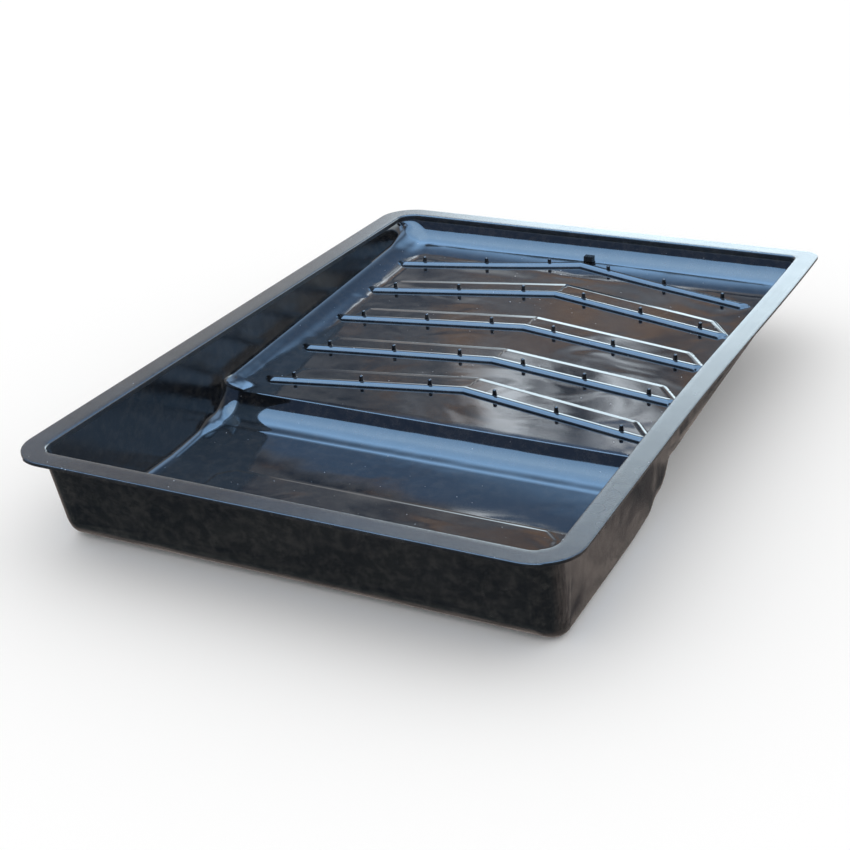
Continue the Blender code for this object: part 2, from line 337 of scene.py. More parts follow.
def front_stations():
    """Down the front wall and round its foot."""
    top = (-MOUTH_Y + (HEIGHT - SPLIT_Z) * tan(FRONT_DRAFT), SPLIT_Z)
    foot = fillet(top, FRONT_FOOT, (0.0, SHEET), FRONT_FOOT_RADIUS, FRONT_FOOT_ROWS)
    rows = []
    for i in range(FRONT_WALL_ROWS):
        t = i / FRONT_WALL_ROWS
        point = (lerp(top[0], foot[0][0], t), lerp(top[1], foot[0][1], t))
        rows.append(station(point, -pi / 2, cove("corner")))
    for i, point in enumerate(foot):
        t = i / (len(foot) - 1)
        rows.append(station(point, lerp(-pi / 2, 0.0, t), blend_cove("corner", "well", t)))
    return rows


def floor_stations(start):
    """The flat floor, with close rows at the panel's back edge, and the rise towards the step."""
    rows = []
    edge_start = FLOOR_PANEL_BACK - FLOOR_EDGE_ROWS * FLOOR_EDGE_SPACING
    for i in range(1, FLOOR_ROWS + 1):
        y = lerp(start, edge_start, i / FLOOR_ROWS)
        rows.append(station((y, SHEET), 0.0, cove("well")))
    for i in range(1, FLOOR_EDGE_ROWS + 1):
        y = edge_start + i * FLOOR_EDGE_SPACING
        rows.append(station((y, SHEET), 0.0, cove("well")))
    curve = arc_between(FLOOR_CURVE_START, STEP_CREASE, FLOOR_TILTS, FLOOR_RISE_ROWS)
    for i, point in enumerate(curve[1:], 1):
        t = i / (len(curve) - 1)
        lift = FLOOR_END_LIFT * ease((t - 0.5) * 2)
        rows.append(station(point, lift, blend_cove("well", "step", (t - 0.66) / 0.34)))
    return rows


def curve_between(start, end, tilts, handles, steps):
    """A cubic from start to end with the given tilts, as stiff at each end as its handle is long."""
    first, last = Vector(start), Vector(end)
    knee = first + Vector((cos(tilts[0]), sin(tilts[0]))) * handles[0]
    neck = last - Vector((cos(tilts[1]), sin(tilts[1]))) * handles[1]
    points = []
    for i in range(steps + 1):
        t = i / steps
        u = 1 - t
        points.append(first * u ** 3 + knee * 3 * u * u * t + neck * 3 * u * t * t + last * t ** 3)
    return points


def step_stations():
    """Up the step, round the lip."""
    turn = STEP_TILTS[1]
    step_tangent = (LIP[0] - cos(turn) * lip_start(), LIP[1] - sin(turn) * lip_start())
    climb = curve_between(STEP_CREASE, step_tangent, STEP_TILTS, STEP_HANDLES, STEP_ROWS)
    first = climb[0].lerp(climb[1], 0.12)
    rows = [station(first, STEP_FOOT_LIFT, cove("step"))]
    for i, point in enumerate(climb[1:], 1):
        t = i / (len(climb) - 1)
        rows.append(station(point, lerp(STEP_LIFTS[0], STEP_LIFTS[1], ease(t)), cove("step")))
    before = (LIP[0] - cos(turn), LIP[1] - sin(turn))
    turn_rows = fillet(before, LIP, deck_point(0.01), LIP_RADIUS, LIP_ROWS)
    for i, point in enumerate(turn_rows[1:], 1):
        t = i / (len(turn_rows) - 1)
        lift = lerp(STEP_LIFTS[1], DECK_START_LIFT, t)
        rows.append(station(point, lift, blend_cove("step", "ramp_front", t * 0.5)))
    return rows


def rib_end(rib):
    return FIRST_RIB_END + rib * RIB_PITCH


def has_panel(rib):
    """Every rib but the last has a panel behind it."""
    return rib < len(RIB_RISES) - 1


def panel_rows():
    """S offsets over a panel, close enough together for its slanting ends, closest at its rear edge."""
    start = RIB_DEPTH + 0.0009
    end = PANEL_DEPTH - PANEL_REAR_GAPS[0] - 0.0004
    rows = [lerp(start, end, i / PANEL_ROWS) for i in range(PANEL_ROWS + 1)]
    return tuple(rows) + tuple(PANEL_DEPTH - gap for gap in PANEL_REAR_GAPS)


def marks_between(start, end, count):
    """Rows spread evenly between two marks, without the marks themselves."""
    marks = []
    for i in range(1, count + 1):
        t = i / (count + 1)
        marks.append((lerp(start[0], end[0], t), lerp(start[1], end[1], t)))
    return marks


def deck_marks():
    """(S at the rib ends, rise) of every row of the deck."""
    marks = []
    previous = (lip_start(), 0.0)
    for rib, rise in enumerate(RIB_RISES):
        first = (rib_end(rib) + BEAD_ROWS[0], rise)
        marks += marks_between(previous, first, DECK_GAP_ROWS)
        offsets = BEAD_ROWS + (panel_rows() if has_panel(rib) else ())
        marks += [(rib_end(rib) + offset, rise) for offset in offsets]
        previous = marks[-1]
    return marks + marks_between(previous, (DECK_END, 0.0), DECK_END_ROWS)


def deck_cove(s):
    """The cove along the deck: it opens out behind the lip and narrows again into the back wall."""
    if s < DECK_ENTRY:
        return mix_coves(blend_cove("step", "ramp_front", 0.5), cove("ramp_front"), ease(s / DECK_ENTRY))
    if s < BACK_COVE_START:
        return mix_coves(cove("ramp_front"), cove("ramp_back"), (s - DECK_ENTRY) / DECK_COVE_LENGTH)
    return blend_cove("ramp_back", "back_crease", (s - BACK_COVE_START) / BACK_COVE_LENGTH)


def deck_stations():
    rows = []
    for s, rise in deck_marks():
        lift = lerp(DECK_START_LIFT, DECK_ANGLE, ease(s / DECK_ENTRY))
        lift += DECK_END_EXTRA_LIFT * ease((s - BACK_LIFT_START) / BACK_LIFT_LENGTH)
        rows.append(station(deck_point(s), lift, deck_cove(s), s=s, rise=rise))
    return rows


def back_stations():
    """The concave back wall, from the crease with the deck up to the flange."""
    top = (MOUTH_Y - (HEIGHT - SPLIT_Z) * tan(SIDE_DRAFT), SPLIT_Z)
    curve = curve_between(deck_point(DECK_END), top, BACK_TILTS, BACK_HANDLES, BACK_ROWS)
    rows = []
    for i, point in enumerate(curve):
        t = i / (len(curve) - 1)
        lift = lerp(BACK_FOOT_LIFT, pi / 2, ease(t))
        rows.append(station(point, lift, blend_cove("back_crease", "back_corner", t)))
    return rows


def all_stations():
    front = front_stations()
    return front + floor_stations(front[-1]["y"]) + step_stations() + deck_stations() + back_stations()


# ---------------------------------------------------------------------------------------------
# Raised details: heights above the plain sheet


def rounded_step(distance, radius):
    """0 at the foot, 1 beyond the radius, with a quarter-circle shoulder."""
    if distance <= 0:
        return 0.0
    if distance >= radius:
        return 1.0
    t = 1 - distance / radius
    return sqrt(1 - t * t)


def sloped_step(distance, radius, slope):
    """A rounded step whose top first climbs gently, over a length, by a share of its height."""
    length, share = slope
    return rounded_step(distance, radius) * (1 - share * clamp(1 - distance / length))


def bead_height(x, offset):
    """Height of a rib at X, at an offset behind its front edge, with its slanting ends rounded off."""
    past_end = abs(x) - RIB_REACH - offset * RIB_TIP / RIB_DEPTH
    from_end = -past_end * RIB_END_SLANT
    front = rounded_step(min(offset, from_end), RIB_FRONT_RADIUS)
    rear = sloped_step(min(RIB_DEPTH - offset, from_end), RIB_REAR_RADIUS, RIB_REAR_SLOPE)
    return RIB_HEIGHT * min(front, rear)


def panel_height(x, offset):
    """Height of a panel: each side has its own, and it falls off at its rear edge and slanting end."""
    if offset < RIB_DEPTH * 0.5 or offset > PANEL_DEPTH:
        return 0.0
    side = 1 if x > (offset - RIB_DEPTH) * PANEL_SPLIT_SLOPE else -1
    reach = RIB_REACH + (RIB_TIP if side > 0 else -RIB_TIP)
    slant = (reach - PANEL_REACH) / (PANEL_DEPTH - RIB_DEPTH)
    end_x = reach - (offset - RIB_DEPTH) * slant
    from_end = (end_x - abs(x)) / sqrt(1 + slant * slant)
    edge = sloped_step(min(PANEL_DEPTH - offset, from_end), PANEL_EDGE, PANEL_REAR_SLOPE)
    ramp = clamp((offset - RIB_DEPTH) / (PANEL_DEPTH - RIB_DEPTH))
    return PANEL_HEIGHTS[side] * edge * lerp(PANEL_FRONT_SHARE, 1.0, ramp)


def deck_relief(x, s):
    """Height of ribs and panels above the deck."""
    height = 0.0
    for rib, rise in enumerate(RIB_RISES):
        offset = s - rib_end(rib) - rise * (1 - abs(x) / RIB_REACH)
        if -RELIEF_MARGIN < offset < PANEL_DEPTH + RELIEF_MARGIN:
            height = max(height, bead_height(x, offset))
            if has_panel(rib):
                height = max(height, panel_height(x, offset))
    return height


def floor_relief(x, y):
    """Height of the floor's panel, whose rear corners are chamfered."""
    if y > FLOOR_PANEL_BACK or y < FLOOR_PANEL_FRONT:
        return 0.0
    side = FLOOR_PANEL_X - abs(x)
    back = FLOOR_PANEL_BACK - y
    corner = (side + back - FLOOR_PANEL_CHAMFER) / sqrt(2)
    return FLOOR_PANEL_HEIGHT * ease(min(side, back, corner) / FLOOR_PANEL_EDGE)


# ---------------------------------------------------------------------------------------------
# The skin


def cove_point(width, height, angle, t):
    """Cubic from (-width, 0), level, to (0, height), leaning at the angle: distances from the side wall."""
    meet = -height / tan(angle) if angle < pi / 2 - 0.001 else 0.0
    start, end, knee = Vector((-width, 0.0)), Vector((0.0, height)), Vector((meet, 0.0))
    first, last = start.lerp(knee, COVE_FULLNESS), end.lerp(knee, COVE_FULLNESS)
    u = 1 - t
    return start * u ** 3 + first * 3 * u * u * t + last * 3 * u * t * t + end * t ** 3


def lifted(row, x, lift_by):
    """The point of a station at X, lifted off the profile; deck rows bend with the ribs."""
    if row["s"] is None:
        y, z = row["y"], row["z"]
    else:
        y, z = deck_point(row["s"] + row["rise"] * (1 - abs(x) / RIB_REACH))
    return Vector((x, y - sin(row["lift"]) * lift_by, z + cos(row["lift"]) * lift_by))


def half_section(row, side):
    """Points of one half of a station, from the middle to the foot of the side wall."""
    width, height, angle, inset = row["cove"][side]
    wall_x = half_width_at(max(row["z"], SHEET)) - inset
    points = [lifted(row, side * (wall_x - width) * t, 0.0) for t in FLAT_STEPS]
    for i in range(1, COVE_STEPS + 1):
        p = cove_point(width, height, angle, i / COVE_STEPS)
        points.append(lifted(row, side * (wall_x + p.x), p.y))
    return points


def relief_at(row, x):
    """Height of the raised details at a station and X."""
    if row["s"] is not None:
        return deck_relief(x, row["s"] + row["rise"] * (1 - abs(x) / RIB_REACH))
    if row["z"] <= SHEET + 1e-6 and row["y"] > FRONT_FOOT[0] + FRONT_FOOT_RADIUS:
        return floor_relief(x, row["y"])
    return 0.0


def raised_point(row, point):
    """The point moved off the plain sheet, square to the deck, by the details' height."""
    height = relief_at(row, point.x) if point.z < row["z"] + RELIEF_REACH else 0.0
    return point + Vector((0.0, -sin(DECK_ANGLE), cos(DECK_ANGLE))) * height


def wall_rows(foot, top_y, side):
    """From the foot of the side wall up to the split under the flange."""
    top = Vector((side * half_width_at(SPLIT_Z), top_y, SPLIT_Z))
    return [foot.lerp(top, i / WALL_STEPS) for i in range(1, WALL_STEPS + 1)]


def skin_grid():
    """Rows of points across the tray, left wall top to right wall top, without and with relief."""
    rows = all_stations()
    plain, raised = [], []
    top_y = {side: -HALF_LENGTH for side in SIDE_NAMES}
    last_y = {side: half_section(rows[-1], side)[-1].y for side in SIDE_NAMES}
    for row in rows:
        halves = {}
        for side in SIDE_NAMES:
            half = half_section(row, side)
            top_y[side] = min(max(top_y[side], half[-1].y), last_y[side])
            halves[side] = half + wall_rows(half[-1], top_y[side], side)
        line = halves[-1][::-1] + halves[1][1:]
        plain.append(line)
        raised.append([raised_point(row, point) for point in line])
    return plain, raised


def grid_normals(grid):
    """The inside normal at every point of a grid, or None where its neighbours coincide."""
    normals = []
    last_row, last_col = len(grid) - 1, len(grid[0]) - 1
    for i, line in enumerate(grid):
        out = []
        for j in range(len(line)):
            across = grid[i][min(j + 1, last_col)] - grid[i][max(j - 1, 0)]
            along = grid[min(i + 1, last_row)][j] - grid[max(i - 1, 0)][j]
            normal = across.cross(along)
            out.append(normal.normalized() if normal.length > 1e-12 else None)
        normals.append(out)
    return normals


def corner_radius(x, y):
    """The radius of the mouth's corner on that side, at the split."""
    name = "corner" if y < 0 else "back_corner"
    return cove(name)[1 if x > 0 else -1][0]


def outward_at(point):
    """Direction from the mouth's outline straight out over the flange."""
    radius = corner_radius(point.x, point.y)
    inner_x = half_width_at(SPLIT_Z) - radius
    inner_y = MOUTH_Y - radius
    core = Vector((clamp(point.x, -inner_x, inner_x), clamp(point.y, -inner_y, inner_y)))
    return Vector((point.x - core.x, point.y - core.y, 0.0)).normalized()


def outer_reach(point, outward):
    """How far the flange stands out there, as a share of its width: more where its corner is sharper."""
    if outward.x < 0.001 or outward.y < 0.001:
        return 1.0
    inner = corner_radius(point.x, point.y)
    edge = inner + RIM_WIDTH
    core = edge - SHARP_CORNER
    low, high = sorted((outward.x, outward.y))
    if edge * low < core * high:
        reach = edge / high
    else:
        reach = core * (low + high) + sqrt(SHARP_CORNER ** 2 - (core * (high - low)) ** 2)
    return (reach - inner) / RIM_WIDTH


def on_split(point):
    return abs(point.z - SPLIT_Z) < 1e-5


def outer_grid(plain):
    """The sheet's other face: every point moved out by the sheet's thickness."""
    normals = grid_normals(plain)
    grid = []
    for line, line_normals in zip(plain, normals):
        out = []
        for point, normal in zip(line, line_normals):
            if on_split(point):
                out.append(point + outward_at(point) * SHEET)
            else:
                moved = point - (normal or Vector((0.0, 0.0, 1.0))) * SHEET
                moved.z = min(moved.z, SPLIT_Z)
                out.append(moved)
        grid.append(out)
    return grid


def add_grid(bm, grid, flip):
    """Adds a grid's faces to the mesh and returns its vertices, in the same rows."""
    verts = [[bm.verts.new(p) for p in line] for line in grid]
    for i in range(len(grid) - 1):
        for j in range(len(grid[0]) - 1):
            quad = [verts[i][j], verts[i][j + 1], verts[i + 1][j + 1], verts[i + 1][j]]
            bm.faces.new(quad[::-1] if flip else quad)
    return verts


def outline(grid):
    """The border of a grid, once round: first row, last column, last row, first column."""
    loop = list(grid[0])
    loop += [line[-1] for line in grid[1:]]
    loop += grid[-1][-2::-1]
    loop += [line[0] for line in grid[-2:0:-1]]
    return loop


def rim_loop(grid):
    """The outline of the mouth at the split, without repeated points."""
    kept = []
    for point in outline(grid):
        if not kept or (point - kept[-1]).length > MERGE_DISTANCE:
            kept.append(point)
    if (kept[0] - kept[-1]).length < MERGE_DISTANCE:
        kept.pop()
    return kept


def bow(vert):
    """Moves a vertex to the right, more towards the back and towards the right edge."""
    share = (vert.co.x + HALF_WIDTH) / (2 * HALF_WIDTH)
    vert.co.x += BOW * ease((vert.co.y - BOW_START) / (HALF_LENGTH - BOW_START)) * share


def finish_mesh(bm, name, sharp_degrees):
    for vert in bm.verts:
        bow(vert)
    bmesh.ops.recalc_face_normals(bm, faces=bm.faces[:])
    mesh = bpy.data.meshes.new(name)
    bm.to_mesh(mesh)
    bm.free()
    mesh.shade_smooth()
    mesh.set_sharp_from_angle(angle=radians(sharp_degrees))
    return mesh


def add_object(name, mesh):
    piece = bpy.data.objects.new(name, mesh)
    bpy.context.scene.collection.objects.link(piece)
    return piece


def tray_body(plain, raised):
    """The sheet: raised inside, plain outside, closed by a strip round the mouth."""
    bm = bmesh.new()
    inner = outline(add_grid(bm, raised, False))
    outer = outline(add_grid(bm, outer_grid(plain), True))
    for i in range(len(inner)):
        bm.faces.new([inner[i - 1], inner[i], outer[i], outer[i - 1]])
    bmesh.ops.remove_doubles(bm, verts=bm.verts[:], dist=MERGE_DISTANCE)
    bmesh.ops.dissolve_degenerate(bm, edges=bm.edges[:], dist=THIN_DISTANCE)
    return add_object("tray_body", finish_mesh(bm, "tray_body", BODY_SHARP))


def quarter(centre, outward, radius, start, end, steps):
    """Points of an arc in the slice's plane, its angles measured up from outward."""
    points = []
    for i in range(steps + 1):
        a = lerp(start, end, i / steps)
        points.append(centre + outward * radius * cos(a) + Vector((0, 0, radius * sin(a))))
    return points


def flange_section(point, outward):
    """One slice of the flange, from the split on the inner wall, over the top and back under."""
    lean = tan(SIDE_DRAFT if abs(outward.x) > 0.5 or outward.y > 0 else FRONT_DRAFT)
    reach = outer_reach(point, outward)
    mouth = Vector((point.x, point.y, HEIGHT)) + outward * lean * (HEIGHT - SPLIT_Z)
    up = Vector((0.0, 0.0, 1.0))
    out = [point.copy()]
    out += quarter(mouth + outward * RIM_ROLL - up * RIM_ROLL, outward, RIM_ROLL, pi, pi / 2, 8)
    for share in (0.3, 0.5, 0.7, 0.9):
        out.append(mouth + outward * share * RIM_WIDTH * reach)
    edge = mouth + outward * (RIM_WIDTH * reach - RIM_EDGE)
    out += quarter(edge - up * RIM_EDGE, outward, RIM_EDGE, pi / 2, 0.0, 6)
    out += quarter(edge - up * (SHEET - RIM_EDGE), outward, RIM_EDGE, 0.0, -pi / 2, 4)
    for share in (0.8, 0.6, 0.3):
        out.append(mouth + outward * share * RIM_WIDTH * reach - up * SHEET)
    last = point + outward * SHEET
    middle = (out[-1] + last) / 2
    middle.z = lerp(last.z, out[-1].z, 0.85)
    out += [middle, last]
    return out


def tray_flange(loop):
    """A closed ring of slices, one at every point of the mouth's outline."""
    bm = bmesh.new()
    rings = [[bm.verts.new(p) for p in flange_section(point, outward_at(point))] for point in loop]
    for i, ring in enumerate(rings):
        following = rings[(i + 1) % len(rings)]
        for j in range(len(ring)):
            k = (j + 1) % len(ring)
            bm.faces.new([ring[j], ring[k], following[k], following[j]])
    return add_object("tray_flange", finish_mesh(bm, "tray_flange", FLANGE_SHARP))


# ---------------------------------------------------------------------------------------------
# Pins and lug


def deck_matrix():
    """From the deck's frame, with its origin at the lip, to the tray's."""
    return Matrix.Translation((0.0, LIP[0], LIP[1])) @ Matrix.Rotation(DECK_ANGLE, 4, "X")


def pin_outline():
    """(Radius, height) up the side of a pin: a flared foot, a straight shaft and a domed top."""
    low = RIB_HEIGHT - PIN_SINK
    points = [(PIN_RADIUS * 1.5, low), (PIN_RADIUS * 1.12, low + 0.0008), (PIN_RADIUS, low + 0.0013)]
    for i in range(6):
        a = i / 5 * pi / 2
        radius = PIN_RADIUS * 0.92 - PIN_DOME + PIN_DOME * cos(a)
        points.append((radius, PIN_TOP - PIN_DOME + PIN_DOME * sin(a)))
    return points


def lathe(bm, points, segments):
    """A closed solid turned round Z from (radius, height) points."""
    angles = [2 * pi * k / segments for k in range(segments)]
    rings = []
    for radius, z in points:
        rings.append([bm.verts.new((radius * cos(a), radius * sin(a), z)) for a in angles])
    for lower, upper in zip(rings, rings[1:]):
        for k in range(segments):
            n = (k + 1) % segments
            bm.faces.new([lower[k], lower[n], upper[n], upper[k]])
    bm.faces.new(rings[0][::-1])
    bm.faces.new(rings[-1])


def rib_pin(rib, place):
    """A small post standing on a bead."""
    x = PIN_XS[place]
    s = rib_end(rib) + RIB_RISES[rib] * (1 - abs(x) / RIB_REACH) + PIN_SETBACK
    bm = bmesh.new()
    lathe(bm, pin_outline(), 20)
    bmesh.ops.transform(bm, matrix=deck_matrix() @ Matrix.Translation((x, s, 0.0)), verts=bm.verts[:])
    name = f"rib_pin_{rib + 1}_{place + 1}"
    return add_object(name, finish_mesh(bm, name, PIN_SHARP))


def cut_into_cells(bm, sizes, cells):
    """Cuts a centred block along each axis into that axis's number of cells."""
    for axis, count in enumerate(cells):
        for i in range(1, count):
            place, normal = Vector(), Vector()
            place[axis] = sizes[axis] * (i / count - 0.5)
            normal[axis] = 1.0
            everything = bm.verts[:] + bm.edges[:] + bm.faces[:]
            bmesh.ops.bisect_plane(bm, geom=everything, plane_co=place, plane_no=normal, dist=THIN_DISTANCE)


def deck_lug():
    """A small block with a grid of pockets pressed into its front, sides and top."""
    low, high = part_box("back_lug")
    sizes = (high - low) * LUG_SHARE
    bm = bmesh.new()
    bmesh.ops.create_cube(bm, size=1.0)
    bmesh.ops.scale(bm, vec=sizes, verts=bm.verts[:])
    cut_into_cells(bm, sizes, LUG_CELLS)
    panels = [face for face in bm.faces if face.normal.z > -0.5]
    bmesh.ops.inset_individual(bm, faces=panels, thickness=LUG_WALL, depth=0.0)
    bmesh.ops.inset_individual(bm, faces=panels, thickness=LUG_POCKET_DRAFT, depth=-LUG_POCKET_DEPTH)
    place = Matrix.Translation(((low.x + high.x) / 2, (low.y + high.y) / 2, low.z + sizes.z / 2))
    bmesh.ops.transform(bm, matrix=place, verts=bm.verts[:])
    return add_object("deck_lug", finish_mesh(bm, "deck_lug", LUG_SHARP))


# ---------------------------------------------------------------------------------------------
# Materials


class Graph:
    """Small helpers to write a node tree as expressions."""

    def __init__(self, tree):
        self.tree = tree
        self.tree.nodes.clear()

    def split(self, vector):
        """The X, Y and Z of a vector."""
        made = self.node("ShaderNodeSeparateXYZ")
        self.feed(made.inputs[0], vector)
        return made.outputs

    def node(self, kind, **values):
        made = self.tree.nodes.new(kind)
        for key, value in values.items():
            setattr(made, key, value)
        return made

    def feed(self, socket, value):
        if isinstance(value, bpy.types.NodeSocket):
            self.tree.links.new(value, socket)
        else:
            socket.default_value = value

    def math(self, operation, *values):
        made = self.node("ShaderNodeMath", operation=operation)
        for socket, value in zip(made.inputs, values):
            self.feed(socket, value)
        return made.outputs[0]

    def smooth(self, value, low, high, to_low=0.0, to_high=1.0):
        """A smooth step from to_low, where the value is low, to to_high, where it is high."""
        made = self.node("ShaderNodeMapRange", interpolation_type="SMOOTHSTEP")
        for name, item in (("Value", value), ("From Min", low), ("From Max", high), ("To Min", to_low),
                           ("To Max", to_high)):
            self.feed(made.inputs[name], item)
        return made.outputs["Result"]

    def product(self, first, *others):
        for other in others:
            first = self.math("MULTIPLY", first, other)
        return first

    def window(self, value, rise, fall):
        """1 between a rise and a fall, each given by where it starts and ends, and 0 outside."""
        return self.product(self.smooth(value, *rise), self.smooth(value, *fall))

    def mix(self, factor, a, b):
        """The colour A, and B where the factor is 1."""
        made = self.node("ShaderNodeMix", data_type="RGBA", blend_type="MIX")
        self.feed(made.inputs[0], factor)
        for socket, value in ((made.inputs[6], a), (made.inputs[7], b)):
            self.feed(socket, (*value, 1.0) if isinstance(value, tuple) else value)
        return made.outputs[2]

    def noise(self, vector, scale, detail=2.0, roughness=0.5, distortion=0.0):
        made = self.node("ShaderNodeTexNoise")
        self.feed(made.inputs["Vector"], vector)
        self.feed(made.inputs["Scale"], scale)
        self.feed(made.inputs["Detail"], detail)
        self.feed(made.inputs["Roughness"], roughness)
        self.feed(made.inputs["Distortion"], distortion)
        return made.outputs["Fac"]

    def stretch(self, vector, scale):
        made = self.node("ShaderNodeMapping")
        self.feed(made.inputs["Vector"], vector)
        self.feed(made.inputs["Scale"], scale)
        return made.outputs["Vector"]

    def bump(self, height, distance, normal=None):
        made = self.node("ShaderNodeBump")
        self.feed(made.inputs["Height"], height)
        self.feed(made.inputs["Distance"], distance)
        self.feed(made.inputs["Strength"], 1.0)
        if normal is not None:
            self.feed(made.inputs["Normal"], normal)
        return made.outputs["Normal"]


def inward_wall(graph, place):
    """1 on the walls that face the inside of the tray, 0 elsewhere."""
    normal = graph.split(graph.node("ShaderNodeNewGeometry").outputs["Normal"])
    spot = graph.split(place)
    across = graph.product(normal[0], spot[0])
    along = graph.product(normal[1], spot[1])
    inward = graph.math("ADD", graph.smooth(across, -0.03, -0.09), graph.smooth(along, -0.06, -0.16))
    steep = graph.smooth(graph.math("ABSOLUTE", normal[2]), 0.45, 0.15)
    return graph.product(inward, steep)


def dust_cover(graph, place, dust):
    """Share of the surface under dust: small specks, mostly where it faces up, and a faint haze."""
    specks = graph.node("ShaderNodeTexVoronoi", feature="F1")
    graph.feed(specks.inputs["Vector"], place)
    graph.feed(specks.inputs["Scale"], 230.0)
    normal = graph.split(graph.node("ShaderNodeNewGeometry").outputs["Normal"])
    upward = graph.smooth(normal[2], 0.3, 0.9, 0.06, 1.0)
    speck_size = graph.smooth(graph.noise(place, 900.0, 0.0), 0.60, 0.74)
    speck = graph.product(graph.smooth(specks.outputs["Distance"], 0.12, 0.05), speck_size, upward)
    haze = graph.smooth(graph.noise(place, 14.0, 5.0, 0.6), 0.45, 0.80)
    return graph.product(graph.math("ADD", speck, graph.product(haze, 0.012)), dust)


def plastic_colour(graph, place, dusty):
    """Black with faded mottling, under the dust."""
    mottle = graph.smooth(graph.noise(place, 190.0, 8.0, 0.75), 0.43, 0.64)
    return graph.mix(dusty, graph.mix(mottle, BLACK, FADED_BLACK), DUST)


def plastic_roughness(graph, place, dusty, roughness, spread):
    """Cloudy, duller on the inside walls and under dust."""
    cloud = graph.noise(place, 9.0, 4.0, 0.55)
    rough = graph.smooth(cloud, 0.25, 0.75, roughness - spread, roughness + spread)
    rough = graph.math("MULTIPLY_ADD", inward_wall(graph, place), 0.13, rough)
    return graph.math("MULTIPLY_ADD", dusty, 0.4, rough)


def plastic_normal(graph, place, wave, grain, grain_scale):
    """Faint waves of the moulded sheet, and a fine grain on them."""
    waves = graph.noise(graph.stretch(place, (0.7, 1.0, 1.0)), 26.0, 2.0, 0.45, 0.6)
    pebble = graph.noise(place, grain_scale, 3.0, 0.6)
    return graph.bump(pebble, grain, graph.bump(waves, wave))


def plastic(name, roughness, spread, wave, grain, grain_scale, dust):
    """Black moulded plastic: faint waves, fine grain, faded mottling, a haze of dust and dust specks."""
    material = bpy.data.materials.new(name)
    material.use_nodes = True
    graph = Graph(material.node_tree)
    place = graph.node("ShaderNodeTexCoord").outputs["Object"]
    shader = graph.node("ShaderNodeBsdfPrincipled")
    shader.inputs["IOR"].default_value = 1.5
    dusty = dust_cover(graph, place, dust)
    graph.feed(shader.inputs["Base Color"], plastic_colour(graph, place, dusty))
    graph.feed(shader.inputs["Roughness"], plastic_roughness(graph, place, dusty, roughness, spread))
    graph.feed(shader.inputs["Normal"], plastic_normal(graph, place, wave, grain, grain_scale))
    output = graph.node("ShaderNodeOutputMaterial")
    graph.feed(output.inputs["Surface"], shader.outputs["BSDF"])
    return material


def assign(piece, material):
    piece.data.materials.clear()
    piece.data.materials.append(material)


# ---------------------------------------------------------------------------------------------
# Surroundings


